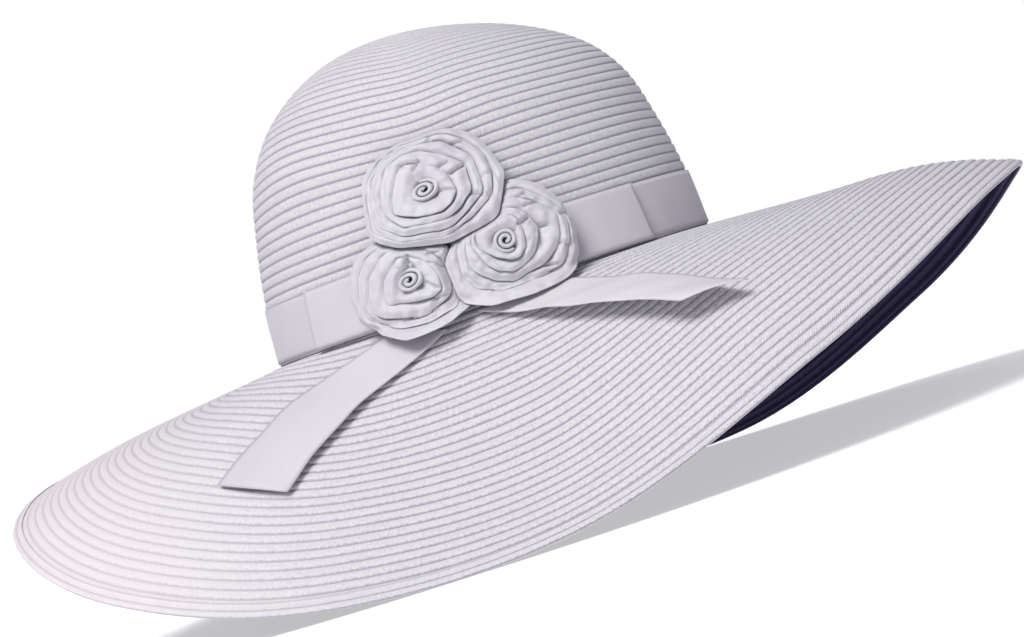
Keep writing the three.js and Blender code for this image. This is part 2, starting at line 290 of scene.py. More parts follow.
def thicken(piece, wall, inner_material=0):
    """Gives a sheet its wall, on the side away from its face."""
    solidify = piece.modifiers.new("wall", "SOLIDIFY")
    solidify.thickness = wall * MM
    solidify.offset = -1
    solidify.material_offset = inner_material
    deselect_all()
    piece.select_set(True)
    bpy.context.view_layer.objects.active = piece
    bpy.ops.object.modifier_apply(modifier="wall")


def dress(piece, *materials):
    for material in materials:
        piece.data.materials.append(material)


def finish_piece(piece, stands_for):
    piece.data.polygons.foreach_set("use_smooth", [True] * len(piece.data.polygons))
    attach(piece, "root")
    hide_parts(stands_for)


# Finishes

# In metres along X, towards the brim's low side: there the straw is painted lighter and warmer as painted
# light, and the painted shade in its seams is paler
LIT_SIDE_FROM, LIT_SIDE_TO = -0.06, -0.2
SEAM_SHADE_FADE_FROM, SEAM_SHADE_FADE_TO = -0.04, -0.17
RIB_PITCH = 0.55
THREAD_PITCH = 0.42
TUCK_END = 1  # across a wrap's map: tucked under the one inside up to here
FOLD_START = 10  # and turned back from here on

class Finish:
    """A material whose colour and grain come from nodes."""

    def __init__(self, name, roughness, sheen=0.0, specular=0.3):
        self.material = bpy.data.materials.new(name)
        self.material.use_nodes = True
        self.tree = self.material.node_tree
        self.shader = self.tree.nodes["Principled BSDF"]
        self.shader.inputs["Roughness"].default_value = roughness
        self.shader.inputs["Sheen Weight"].default_value = sheen
        self.shader.inputs["Sheen Roughness"].default_value = 0.5
        self.shader.inputs["Specular IOR Level"].default_value = specular

    def node(self, kind, inputs=(), **settings):
        node = self.tree.nodes.new(kind)
        for key, value in settings.items():
            setattr(node, key, value)
        for key, value in dict(inputs).items():
            self.connect(value, node.inputs[key])
        return node

    def connect(self, value, socket):
        if isinstance(value, bpy.types.NodeSocket):
            self.tree.links.new(value, socket)
        else:
            socket.default_value = value

    def math(self, operation, *values, clamp=False):
        node = self.node("ShaderNodeMath", operation=operation, use_clamp=clamp)
        for index, value in enumerate(values):
            self.connect(value, node.inputs[index])
        return node.outputs[0]

    def step(self, value, low, high, to_low=0.0, to_high=1.0):
        inputs = {"Value": value, "From Min": low, "From Max": high, "To Min": to_low, "To Max": to_high}
        return self.node("ShaderNodeMapRange", inputs, interpolation_type="SMOOTHSTEP").outputs[0]

    def mix(self, share, first, second, blend="MIX"):
        node = self.node("ShaderNodeMix", data_type="RGBA", blend_type=blend)
        self.connect(share, node.inputs[0])
        self.connect(first, node.inputs[6])
        self.connect(second, node.inputs[7])
        return node.outputs[2]

    def noise(self, vector, scale, detail=2.0, roughness=0.5):
        inputs = {"Vector": vector, "Scale": scale, "Detail": detail, "Roughness": roughness}
        return self.node("ShaderNodeTexNoise", inputs).outputs["Fac"]

    def place(self):
        return self.node("ShaderNodeTexCoord").outputs["Object"]

    def cloth(self, name):
        split = self.node("ShaderNodeSeparateXYZ")
        self.connect(self.node("ShaderNodeUVMap", uv_map=name).outputs[0], split.inputs[0])
        return split.outputs[0], split.outputs[1]

    def vector(self, x, y, z=0.0):
        return self.node("ShaderNodeCombineXYZ", {"X": x, "Y": y, "Z": z}).outputs[0]

    def show(self, colour, height, depth, strength=1.0):
        self.connect(colour, self.shader.inputs["Base Color"])
        bump = self.node("ShaderNodeBump", {"Height": height, "Distance": depth * MM, "Strength": strength})
        self.connect(bump.outputs[0], self.shader.inputs["Normal"])
        return self.material


def shade(red, green, blue):
    return (red, green, blue, 1.0)


def straw_finish(name, straw, seam_shade, shadow, lit_side=None, mottle=0.24, sheen=0.08, specular=0.2):
    """Plaited straw: V-laid strands across each row, with painted shade in the sewn seams between rows."""
    finish = Finish(name, roughness=0.85, sheen=sheen, specular=specular)
    strand, row = finish.cloth("braid")
    across = finish.math("FRACT", row)
    off_middle = finish.math("ABSOLUTE", finish.math("SUBTRACT", across, 0.5))
    waver = finish.noise(finish.vector(finish.math("MULTIPLY", strand, 0.35), row), 1.0, 2.0)
    lean = finish.math("MULTIPLY_ADD", off_middle, 2.6, finish.math("MULTIPLY", waver, 1.5))
    phase = finish.math("MULTIPLY", finish.math("ADD", strand, lean), 2 * math.pi)
    wave = finish.math("MULTIPLY_ADD", finish.math("SINE", phase), 0.5, 0.5)
    tone_at = finish.vector(finish.math("MULTIPLY", strand, 0.8), finish.math("MULTIPLY", row, 3.0))
    tone = finish.noise(tone_at, 1.0, 3.0, 0.6)
    long_tone = finish.noise(finish.vector(finish.math("MULTIPLY", strand, 0.03), row), 1.0, 2.0)
    ragged = finish.math("MULTIPLY_ADD", tone, 0.16, finish.math("SUBTRACT", across, 0.08))
    rising = finish.step(ragged, 0.0, 0.2)
    falling = finish.step(ragged, 0.82, 1.0, 1.0, 0.0)
    body = finish.math("MULTIPLY", rising, falling)
    colour = finish.mix(finish.math("MULTIPLY", wave, 0.22), straw, shadow)
    colour = finish.mix(finish.step(tone, 0.36, 0.68, 0.0, mottle * 2), colour, shadow)
    colour = finish.mix(finish.step(long_tone, 0.35, 0.75, 0.0, 0.14), colour, shadow)
    # painted shade along the groove of each seam between rows, weaker towards the brim's low side
    seam_shade_share = finish.math("SUBTRACT", 1.0, body)
    # painted light: towards the brim's low side the straw is painted lighter and warmer, and the painted
    # seam shade paler
    if lit_side:
        side = finish.node("ShaderNodeSeparateXYZ", {"Vector": finish.place()}).outputs[0]
        colour = finish.mix(finish.step(side, LIT_SIDE_FROM, LIT_SIDE_TO, 0.0, 0.75), colour, lit_side)
        seam_shade_left = finish.step(side, SEAM_SHADE_FADE_FROM, SEAM_SHADE_FADE_TO, 1.0, 0.4)
        seam_shade_share = finish.math("MULTIPLY", seam_shade_share, seam_shade_left)
    colour = finish.mix(seam_shade_share, colour, seam_shade)
    grain = finish.math("MULTIPLY_ADD", wave, 0.6, finish.math("MULTIPLY", tone, 0.7))
    return finish.show(colour, finish.math("MULTIPLY", grain, body), 0.30, 0.9)


def ribbon_finish(name, cloth, shadow, folded=False):
    """Plain woven ribbon with a fine rib and a closed edge. The map is in millimetres."""
    finish = Finish(name, roughness=0.55, sheen=0.25, specular=0.35)
    across, along = finish.cloth("ribbon")
    rib = finish.math("SINE", finish.math("MULTIPLY", along, 2 * math.pi / RIB_PITCH))
    thread = finish.math("SINE", finish.math("MULTIPLY", across, 2 * math.pi / THREAD_PITCH))
    weave = finish.math("MULTIPLY_ADD", finish.math("MULTIPLY", rib, thread), 0.25, 0.5)
    slub_at = finish.vector(finish.math("MULTIPLY", across, 1.2), finish.math("MULTIPLY", along, 0.12))
    slub = finish.noise(slub_at, 1.0, 3.0)
    cloud = finish.noise(finish.place(), 55.0, 2.0)
    colour = finish.mix(finish.math("MULTIPLY", weave, 0.12), cloth, shadow)
    colour = finish.mix(finish.step(slub, 0.4, 0.8, 0.0, 0.10), colour, shadow)
    colour = finish.mix(finish.step(cloud, 0.35, 0.75, 0.0, 0.22 if folded else 0.10), colour, shadow)
    # painted shade in each folded wrap's tucked-under and turned-back parts
    if folded:
        tucked = finish.step(across, TUCK_END - 0.1, TUCK_END - 2, 0.0, 0.8)
        colour = finish.mix(tucked, colour, FOLD_SHADOW)
        turned = finish.step(across, FOLD_START + 0.7, FOLD_START + 2.4, 0.0, 0.8)
        colour = finish.mix(turned, colour, FOLD_SHADOW)
    else:
        edge = finish.math("SUBTRACT", RIBBON_WIDTH / 2, finish.math("ABSOLUTE", across))
        colour = finish.mix(finish.step(edge, 0.9, 0.2, 0.0, 0.22), colour, shadow)
    height = finish.math("MULTIPLY_ADD", slub, 0.5, weave)
    return finish.show(colour, height, 0.08, 0.6)


STRAW_WHITE = shade(0.70, 0.69, 0.69)
# painted shade for the seam grooves between rows
STRAW_SEAM_SHADE = shade(0.31, 0.29, 0.36)
STRAW_SHADOW = shade(0.47, 0.45, 0.51)
# painted light for the brim's lighter low side
STRAW_LIT_SIDE = shade(0.79, 0.73, 0.75)
# painted shade: the underside straw is coloured as dark as the deep shade under the brim
UNDER_SHADE_PAINT = shade(0.058, 0.050, 0.115)
UNDER_SEAM_SHADE = shade(0.014, 0.011, 0.028)
UNDER_SHADOW = shade(0.035, 0.029, 0.070)
RIBBON_WHITE = shade(0.58, 0.565, 0.59)
# painted light: the same ribbon painted lighter, for the right tail where the light falls brighter
RIBBON_LIT_PAINT = shade(0.66, 0.645, 0.655)
RIBBON_SHADOW = shade(0.42, 0.39, 0.50)
ROSE_WHITE = shade(0.59, 0.58, 0.605)
# painted shade for the rose folds
FOLD_SHADOW = shade(0.25, 0.22, 0.35)

white_straw = straw_finish("white_straw_braid", STRAW_WHITE, STRAW_SEAM_SHADE, STRAW_SHADOW, STRAW_LIT_SIDE)
rim_straw = straw_finish("rim_straw_braid", STRAW_WHITE, STRAW_SEAM_SHADE, STRAW_SHADOW, STRAW_LIT_SIDE)
# painted shade on the brim's underside and on the rim's lower faces
painted_shade_underside = straw_finish(
    "painted_shade_under_braid", UNDER_SHADE_PAINT, UNDER_SEAM_SHADE, UNDER_SHADOW, sheen=0.0, specular=0.06
)
ribbon_cloth = ribbon_finish("white_ribbon", RIBBON_WHITE, RIBBON_SHADOW)
painted_light_ribbon_cloth = ribbon_finish("painted_light_ribbon", RIBBON_LIT_PAINT, RIBBON_SHADOW)
rose_cloth = ribbon_finish("rose_ribbon", ROSE_WHITE, RIBBON_SHADOW, folded=True)


# Sewn braid: rows wound in one long spiral

ROW_STEPS = np.array([0, 0.12, 0.34, 0.62, 0.86])  # points across a row, as shares of the pitch
ROW_RELIEF = [-0.55, -0.16, 0.06, 0.14, 0.0, -0.55]  # there and at the next row's start
ROW_SHIFT = 7.0  # in the map, so that no row repeats the strands of the one beside it


def braid_relief(across):
    """How far a row stands up: tucked under at its inner edge, proud at its outer one."""
    return np.interp(across, [*ROW_STEPS, 1], ROW_RELIEF)


def braid_piece(name, rows, around, low, high, place, girth):
    """Spiral rows from low to high along a surface. place(run, azimuth, relief) is that surface."""
    per_row = len(ROW_STEPS)

    def row_at(v):
        count = np.rint(v * rows * per_row).astype(int)
        return count // per_row + ROW_STEPS[count % per_row]

    def lay(u, v):
        run = np.clip((row_at(v) + u - 1) * BRAID_PITCH + low, low, high)
        across = (run - low) / BRAID_PITCH + 1 - u
        return place(run, u * 360, braid_relief(across % 1))

    def map_rows(u, v):
        row = np.floor(v.mean(1, keepdims=True) * rows)
        middle = np.clip((row + u.mean(1, keepdims=True) - 0.5) * BRAID_PITCH + low, low, high)
        strands = np.maximum(np.rint(girth(middle[:, 0]) / STRAND_WIDTH), 3)[:, None]
        run = np.clip((row_at(v) + u - 1) * BRAID_PITCH + low, low, high)
        return u * strands, (run - low) / BRAID_PITCH + 1 - u - row + row * ROW_SHIFT

    piece = grid_piece(name, around, rows * per_row, lay)
    map_cloth(piece, "braid", map_rows)
    return piece


def finish_braid(piece, stands_for):
    """White straw on the outside, and painted shade on the inside: straw as dark as the deep shade under
    the brim.
    """
    dress(piece, white_straw, painted_shade_underside)
    thicken(piece, BRAID_WALL, 1)
    finish_piece(piece, stands_for)


def crown_girth(run):
    return 2 * math.pi * along_outline(OUTLINE, 0, run)


def brim_girth(run):
    return 2 * math.pi * (CROWN_HALF_WIDTH + run * BRIM_SPREAD)


ROWS_RISE = {"most": 3.6, "azimuth": -140, "spread": 24}
ROWS_DIP = {"most": 2.3, "azimuth": -95, "spread": 13}
LEVEL_BASE, LEVEL_TOP = 8, 4  # rows this near to the crown's base or to its top's middle lie level
FREE_BASE, FREE_TOP = 88, 34  # and rows this far from them wander in full
CROWN_START = 0.2
CROWN_STEPS = 192


def swell(shape, azimuth):
    return shape["most"] * np.exp(-((azimuth_from(azimuth, shape["azimuth"]) / shape["spread"]) ** 2))


def crown_place(run, azimuth, relief):
    """The crown's rows wander: up at the left of the roses and down behind them."""
    rise, dip = swell(ROWS_RISE, azimuth), swell(ROWS_DIP, azimuth)
    share = smooth_step(run, LEVEL_BASE, FREE_BASE)
    share = share * smooth_step(run, CROWN_LENGTH - LEVEL_TOP, CROWN_LENGTH - FREE_TOP)
    wander = 0.35 * np.sin(np.radians(azimuth * 5) + run * 0.11)
    return crown_point(run + (rise - dip + wander) * share, azimuth, relief)


CROWN_ROWS = math.ceil(CROWN_LENGTH / BRAID_PITCH) + 1
crown = braid_piece(
    "crown_braid", CROWN_ROWS, CROWN_STEPS, CROWN_START, CROWN_LENGTH, crown_place, crown_girth
)
close_seams(crown)
finish_braid(crown, "crown")

BRIM_INNER = -1.6
BRIM_OUTER = BRIM_WIDTH - EDGE_ROW_WIDTH - GAP
BRIM_ROWS = math.ceil((BRIM_OUTER - BRIM_INNER) / BRAID_PITCH) + 1
BRIM_STEPS = 256
BRIM_SUNK = 0.15


def brim_place(run, azimuth, relief):
    inside = np.minimum(run, 0)
    points = brim_point(np.maximum(run, 0), azimuth, relief - BRIM_SUNK)
    angle = np.radians(azimuth)
    points[:, 0] += inside * np.cos(angle)
    points[:, 1] += inside * np.sin(angle)
    return points


brim = braid_piece(
    "brim_braid", BRIM_ROWS, BRIM_STEPS, BRIM_INNER, BRIM_OUTER, brim_place, brim_girth
)
close_seams(brim, flip=True)
finish_braid(brim, "brim")

# Doubled row round the rim: out along its upper face, round the edge and back below

EDGE_STEPS = 360
EDGE_LIP = 2  # the first faces hang under the lip that laps over the brim
EDGE_LOWER = 13  # from this one on they are the underside
EDGE_LAST_ROW = 5.55  # the map's row where the section closes
EDGE_SECTION = [
    {"reach": 0.0, "lift": -1.55, "row": 0.55},
    {"reach": 0.0, "lift": 0.08, "row": 0.9},
    {"reach": -0.7, "lift": 0.12, "row": 1.02},
    {"reach": -0.65, "lift": 0.34, "row": 1.1},
    {"reach": 0.3, "lift": 0.4, "row": 1.22},
    {"reach": 1.1, "lift": 0.28, "row": 1.45},
    {"reach": 2.05, "lift": 0.2, "row": 1.85},
    {"reach": 2.45, "lift": -0.1, "row": 2.0},
    {"reach": 2.85, "lift": 0.18, "row": 2.15},
    {"reach": 3.7, "lift": 0.28, "row": 2.5},
    {"reach": 4.55, "lift": 0.0, "row": 2.8},
    {"reach": 4.95, "lift": -0.7, "row": 2.95},
    {"reach": 4.9, "lift": -1.5, "row": 3.3},
    {"reach": 4.3, "lift": -2.15, "row": 3.6},
    {"reach": 3.2, "lift": -2.28, "row": 3.9},
    {"reach": 2.5, "lift": -2.0, "row": 4.0},
    {"reach": 1.6, "lift": -2.25, "row": 4.3},
    {"reach": 0.5, "lift": -2.1, "row": 4.7},
]


def lay_edge(u, v):
    count = len(EDGE_SECTION)
    index = np.rint(v * count).astype(int) % count
    reach, lift = (column_of(EDGE_SECTION, key)[index] for key in ("reach", "lift"))
    points = brim_point(BRIM_WIDTH - EDGE_ROW_WIDTH + reach, u * 360, lift)
    points[:, 2] = np.maximum(points[:, 2], 0.0)
    return points


def map_edge(u, v):
    index = np.rint(v * len(EDGE_SECTION)).astype(int)
    rows = np.r_[column_of(EDGE_SECTION, "row"), EDGE_LAST_ROW]
    return u * round(brim_girth(BRIM_WIDTH) / STRAND_WIDTH), rows[index]


edge = grid_piece("rim_braid", EDGE_STEPS, len(EDGE_SECTION), lay_edge)
map_cloth(edge, "braid", map_edge)
face_rows = np.array([face.vertices[0] // (EDGE_STEPS + 1) for face in edge.data.polygons])
lower_faces = (face_rows < EDGE_LIP) | (face_rows >= EDGE_LOWER)
close_seams(edge, flip=True)
# the rim's lower faces get the painted shade of the underside
dress(edge, rim_straw, painted_shade_underside)
finish_piece(edge, "brim_edge")
edge.data.polygons.foreach_set("material_index", lower_faces.astype(int))


# Ribbons round the crown

RIBBON_STEPS_ACROSS = 12
BAND_STEPS = 240
BAND_SOLID_WALL = 1
FLUSH = GAP + BAND_SOLID_WALL + GAP
FRONT_STEPS = 90
FRONT_FROM = -140
FRONT_TO = -46
FRONT_LIFT = 0.7
FRONT_STAND_OFF = 1.6  # its lower edge stands off the band

def wrapped_ribbon(name, start, end, steps, low, width, offset_low, offset_high):
    """A ribbon laid round the crown from one azimuth to another, low up from the base."""
    length = math.radians(end - start) * CROWN_HALF_WIDTH

    def lay(u, v):
        azimuth = start + (end - start) * u
        across = length_at_height(low) + width * v
        offset = offset_low + (offset_high - offset_low) * v
        turn = np.radians(azimuth)
        ripple = 0.07 * np.sin(18 * turn + 2 * v) + 0.05 * np.sin(48 * turn + 1.0)
        return crown_point(across, azimuth, offset + RIBBON_WALL + ripple)

    piece = grid_piece(name, steps, RIBBON_STEPS_ACROSS, lay)
    map_cloth(piece, "ribbon", lambda u, v: ((v - 0.5) * RIBBON_WIDTH, u * length))
    return piece, length


band, band_length = wrapped_ribbon(
    "band_ribbon", 0, 360, BAND_STEPS, BAND_LIFT, BAND_WIDTH, GAP, GAP
)
close_seams(band)
thicken(band, RIBBON_WALL)
dress(band, ribbon_cloth)
finish_piece(band, "hat_band")

front, front_length = wrapped_ribbon(
    "front_ribbon_over", FRONT_FROM, FRONT_TO, FRONT_STEPS,
    FRONT_LIFT, FRONT_WIDTH, FLUSH + FRONT_STAND_OFF, FLUSH,
)
thicken(front, RIBBON_WALL)
dress(front, ribbon_cloth)
finish_piece(front, "front_ribbon")


# Ribbon tails on the brim

LEFT_TAIL = {
    "left": [
        {"azimuth": -115.5, "reach": 2.5, "lift": 0.9},
        {"azimuth": -120, "reach": 7, "lift": 1.2},
        {"azimuth": -130.5, "reach": 19, "lift": 1.3},
        {"azimuth": -136.5, "reach": 32.5, "lift": 1.5},
        {"azimuth": -139.3, "reach": 54, "lift": 1.5},
        {"azimuth": -141.3, "reach": 75, "lift": 1.5},
    ],
    "right": [
        {"azimuth": -102, "reach": 13, "lift": 1.2},
        {"azimuth": -106, "reach": 18.5, "lift": 1.6},
        {"azimuth": -118, "reach": 33, "lift": 2.6},
        {"azimuth": -123, "reach": 45.5, "lift": 3},
        {"azimuth": -126.8, "reach": 61, "lift": 3},
        {"azimuth": -129, "reach": 77.5, "lift": 2.6},
    ],
}
RIGHT_TAIL = {
    "left": [
        {"azimuth": -94.5, "reach": 9.5, "lift": 1.2},
        {"azimuth": -86.8, "reach": 21.5, "lift": 3.2},
        {"azimuth": -82.5, "reach": 29.5, "lift": 6},
        {"azimuth": -78.8, "reach": 38, "lift": 7.5},
        {"azimuth": -75, "reach": 48.3, "lift": 9},
        {"azimuth": -71.2, "reach": 61.8, "lift": 10},
        {"azimuth": -68, "reach": 78.8, "lift": 11},
    ],
    "right": [
        {"azimuth": -79.5, "reach": 5.5, "lift": 1.2},
        {"azimuth": -73.2, "reach": 15.5, "lift": 1.4},
        {"azimuth": -68.5, "reach": 29.5, "lift": 1.7},
        {"azimuth": -65.5, "reach": 40, "lift": 2},
        {"azimuth": -63, "reach": 55.5, "lift": 2.6},
        {"azimuth": -61.5, "reach": 73, "lift": 4},
        {"azimuth": -60, "reach": 89, "lift": 6.5},
    ],
}


TAIL_STEPS = 60
TAIL_STEPS_ACROSS = 14
TAIL_LIFT = 0.5  # over the lifts of its edges
TAIL_BELLY = 1.0  # how much its middle stands up at the cut end


def tail_edge(places, share):
    """Azimuth, reach and lift along one edge, smooth through its places."""
    table = np.array([[float(at[key]) for key in ("azimuth", "reach", "lift")] for at in places])
    knots = np.vstack([2 * table[0] - table[1], table, 2 * table[-1] - table[-2]])
    place = np.clip(share * (len(table) - 1), 0, len(table) - 1.0001)
    index = np.floor(place).astype(int)
    near = [knots[index + step] for step in range(4)]
    return smooth_between(*near, (place - index)[:, None])


def tail_piece(name, edges, stands_for, curl, cloth):
    """A ribbon end laid along the brim between its two edges, cut on the slant."""

    def lay(u, v):
        at = tail_edge(edges["left"], u) * (1 - v)[:, None] + tail_edge(edges["right"], u) * v[:, None]
        belly = TAIL_BELLY * np.sin(math.pi * v) * u
        ripple = 0.22 * np.sin(9 * u + 2.5 * v) + 0.12 * np.sin(23 * u - 4 * v)
        lift = at[:, 2] + TAIL_LIFT + belly + ripple * smooth_step(u, 0.1, 0.4)
        lift = lift + curl * smooth_step(u, 0.8, 1.0)
        return brim_point(at[:, 1], at[:, 0], lift)

    piece = grid_piece(name, TAIL_STEPS, TAIL_STEPS_ACROSS, lay)
    points = vertices_of(piece).reshape(TAIL_STEPS_ACROSS + 1, TAIL_STEPS + 1, 3)
    middle = points[TAIL_STEPS_ACROSS // 2]
    length = np.linalg.norm(np.diff(middle, axis=0), axis=1).sum() / MM
    map_cloth(piece, "ribbon", lambda u, v: ((v - 0.5) * RIBBON_WIDTH, u * length))
    thicken(piece, RIBBON_WALL)
    dress(piece, cloth)
    finish_piece(piece, stands_for)


tail_piece("tail_left_ribbon", LEFT_TAIL, "tail_left", 0.0, ribbon_cloth)
# the right tail gets the painted-light copy of the ribbon
tail_piece("tail_right_ribbon", RIGHT_TAIL, "tail_right", 0.4, painted_light_ribbon_cloth)


# Ribbon roses: a rolled bud, then folded wraps, each tucked under the one inside it

ROSE_SEAT = 5.2
ROSE_SEAT_ABOVE = 1
ROSE_SEAT_FROM = BAND_LIFT + RIBBON_WIDTH + 1  # above the ribbons the seat sinks to the straw
ROSE_SEAT_TO = 44
ROSE_LIFT_FROM, ROSE_LIFT_TO = 14, -8  # a rose over another is lifted at its lower side
ROSE_FLARE = 1.5
WRAP_STEPS = 180
ROLL = 1.15  # radius of a wrap's folded edge
WIDEST_ROLL = 0.38  # as a share of a narrow wrap's width
LEAST_BULGE, MOST_BULGE = 0.3, 1.3  # how far a wrap's cloth stands up over its slope
STEP_SCALE = 2.3
DEEPEST_STEP = 3.1
CUP_DEPTH = 0.9  # how much lower the innermost wrap starts beside the bud
CREASE_DEPTH = 1.9
CREASE_WIDTH = 0.7
CREASE_LAP = 0.7
CREASE_LAP_LENGTH = 3
WRINKLE_DEPTH = 0.024  # as a share of a wrinkle's length
LEAST_LEVEL = 0.2
PRESSED_LEVEL = 1.5  # where another rose lies over this one
ROSE_CLOTH_WALL = 0.3

# Each wrap's folded edge goes through corners: (turned from across towards up in degrees, reach from the
# bud, how far the next wrap lies below). A crease goes (across, up, across, up, depth), also from the bud.
UPPER_WRAPS = [
    [
        (-149, 5.6, 0.6), (-101, 5.1, 0.5), (-59, 5.3, 0.6), (-21, 5.2, 1.8), (11, 4.5, 0.6),
        (43, 4.5, 1.5), (74, 4.4, 1.6), (113, 5, 1.2), (161, 4.9, 0.4),
    ],
    [
        (-157, 13.6, 0.9), (-137, 11.1, 1.3), (-115, 10.1, 1.2), (-87, 10.1, 0.9), (-67, 11.1, 1.4),
        (-45, 11.8, 1.4), (-21, 12, 0.9), (15, 10.4, 0.9), (47, 9.5, 0.5), (78, 10.6, 0.2),
        (97, 11.5, 0.9), (115, 13.6, 0.8), (132, 12.6, 0.4), (158, 11.3, 0.35), (179, 12, 0.4),
    ],
    [
        (-174, 17, 0.6), (-156, 15.8, 0.9), (-131, 15, 0.9), (-119, 13.5, 0.6), (-95, 12.7, 0.7),
        (-74, 13.5, 0.7), (-61, 14.4, 1), (-47, 15.1, 1.5), (-33, 15.5, 1.4), (-18, 17.3, 1.1),
        (17, 17.8, 0.9), (35, 16.1, 0.5), (56, 15.2, 0.5), (83, 16, 0.7), (107, 16.7, 0.3),
        (132, 18.1, 0.25), (160, 16.7, 0.3),
    ],
    [
        (-158, 20.8, 0.4), (-128, 18, 0.9), (-105, 15.7, 0.9), (-87, 16.1, 0.9), (-73, 17.2, 0.9),
        (-61, 17.2, 1.1), (-43, 17.9, 1.1), (-19, 21.3, 0.9), (-2, 20.8, 0.7), (21, 22.1, 0.7),
        (38, 20.3, 1.2), (56, 20.3, 1.2), (74, 18.7, 0.9), (101, 18.7, 0.1), (129, 21, 0.3),
        (151, 22.3, 0.6), (174, 20.7, 0.3),
    ],
    [
        (-159, 23.7, 0.3), (-129, 20.2, 0.4), (-106, 17.8, 0.3), (-80, 19, 0.4), (-61, 19, 0.8),
        (-48, 20.2, 0.9), (-25, 23.9, 0.7), (-16, 24.5, 0.9), (1, 25.6, 0.9), (16, 26.2, 0.9),
        (36, 25.1, 0.8), (57, 23.6, 0.8), (78, 20.6, 0.5), (104, 20.8, 0.1), (129, 23, 0.1),
        (151, 24.8, 0.2), (173, 23.4, 0.2),
    ],
    [
        (-179, 25.4, 0), (-160, 26.7, 0), (-147, 24.7, 0), (-130, 22.4, 0), (-107, 20.1, 0),
        (-80, 21.5, 0), (-52, 24.5, 0), (-39, 28.3, 0), (-21, 28, 0), (-3, 30.6, 0), (14, 29.7, 0),
        (30, 30, 0), (44, 28.2, 0), (57, 26.2, 0), (70, 23.9, 0), (79, 22.1, 0), (109, 23.2, 0),
        (137, 26, 0), (147, 27.5, 0), (159, 26.9, 0),
    ],
]
UPPER_CREASES = [
    (6.8, 6.8, 12, 7.9, 0.8), (10, 2.8, 17, 5.2, 1.2), (4.8, -1.3, 11.2, -3.9, 0.9),
    (-2.3, 8.5, 1.4, 12.2, 1), (-7.4, 12.6, -4.5, 11.2, 0.6), (16.1, -6.5, 21.7, -9.4, 0.9),
    (20.6, -1.4, 25, -0.8, 0.7), (27, -5.3, 25.1, 4, 0.5), (6.2, 18.2, 8, 20.6, 0.8),
    (13.6, 14.7, 19.4, 14.4, 0.9),
]
RIGHT_WRAPS = [
    [
        (-157, 4.6, 0.6), (-107, 4.5, 0.9), (-71, 4.7, 1.6), (-20, 4, 0.4), (33, 4.1, 0.8),
        (72, 4.3, 0.4), (129, 4.6, 1), (160, 4.7, 1.5),
    ],
    [
        (-166, 8.3, 0.7), (-129, 7.2, 1.3), (-93, 7.9, 1.5), (-72, 8.4, 1.3), (-39, 7.3, 0.9),
        (1, 6.4, 0.7), (31, 7.6, 0.7), (57, 8.6, 0.3), (85, 8.9, 0.3), (119, 9.6, 0.3),
        (144, 10.5, 0.5), (160, 10.4, 0.6), (176, 9.3, 0.6),
    ],
    [
        (-144, 11.1, 0.8), (-121, 11.8, 1), (-95, 12.5, 1), (-77, 11.8, 0.8), (-60, 11.3, 0.8),
        (-41, 11.3, 0.9), (-15, 11.3, 1.2), (5, 12.2, 1.2), (29, 11.7, 0.6), (52, 11.9, 0.3),
        (80, 11.4, 0.2), (109, 11.9, 0.2), (139, 12.5, 0.2), (170, 11.8, 0.5),
    ],
    [
        (-159, 15.5, 0.6), (-143, 15.3, 0.9), (-118, 15.5, 1), (-94, 16.2, 0.9), (-76, 14.9, 0.8),
        (-54, 16.6, 1.3), (-42, 17.1, 1.2), (-27, 18.3, 0.8), (-13, 19.2, 0.6), (10, 20.4, 0.6),
        (26, 17.7, 0.6), (37, 16.9, 0.8), (61, 15.9, 0.6), (89, 14.7, 0.2), (118, 14.8, 0.1),
        (144, 14.5, 0.1), (178, 14, 0.4),
    ],
    [
        (-157, 19.4, 0.4), (-135, 20.4, 0.5), (-113, 18.7, 0.5), (-81, 17.3, 0.5), (-56, 19.9, 0.8),
        (-44, 22.7, 0.9), (-22, 22.7, 0.7), (-3, 23, 0.7), (10, 23, 0.8), (27, 21.2, 0.5),
        (44, 20.3, 0.6), (58, 20.2, 1), (79, 18.5, 0.2), (118, 17.6, 0.1), (149, 16.6, 0.1),
        (175, 17.2, 0.3),
    ],
    [
        (-179, 22.6, 0), (-143, 27, 0), (-134, 25.7, 0), (-117, 24.3, 0), (-105, 22.5, 0),
        (-84, 22.4, 0), (-63, 24, 0), (-50, 26, 0), (-37, 27.7, 0), (-25, 26.9, 0), (-5, 26.2, 0),
        (11, 25.6, 0), (25, 25.6, 0), (45, 25.3, 0), (63, 24.5, 0), (83, 22, 0), (118, 20.2, 0),
        (149, 18.8, 0), (167, 19.1, 0),
    ],
]
RIGHT_CREASES = [
    (5.1, 4, 9.9, 5.2, 1), (9.6, 9.5, 14.6, 9.6, 0.9), (12.2, 1, 15.6, 0.7, 1),
    (17.5, -6.7, 21, -9.5, 0.8), (8, 13.5, 12.7, 14, 0.7), (20, 3.4, 24.8, 2.8, 0.6),
    (9.9, -13.5, 14.8, -14.8, 0.9),
]
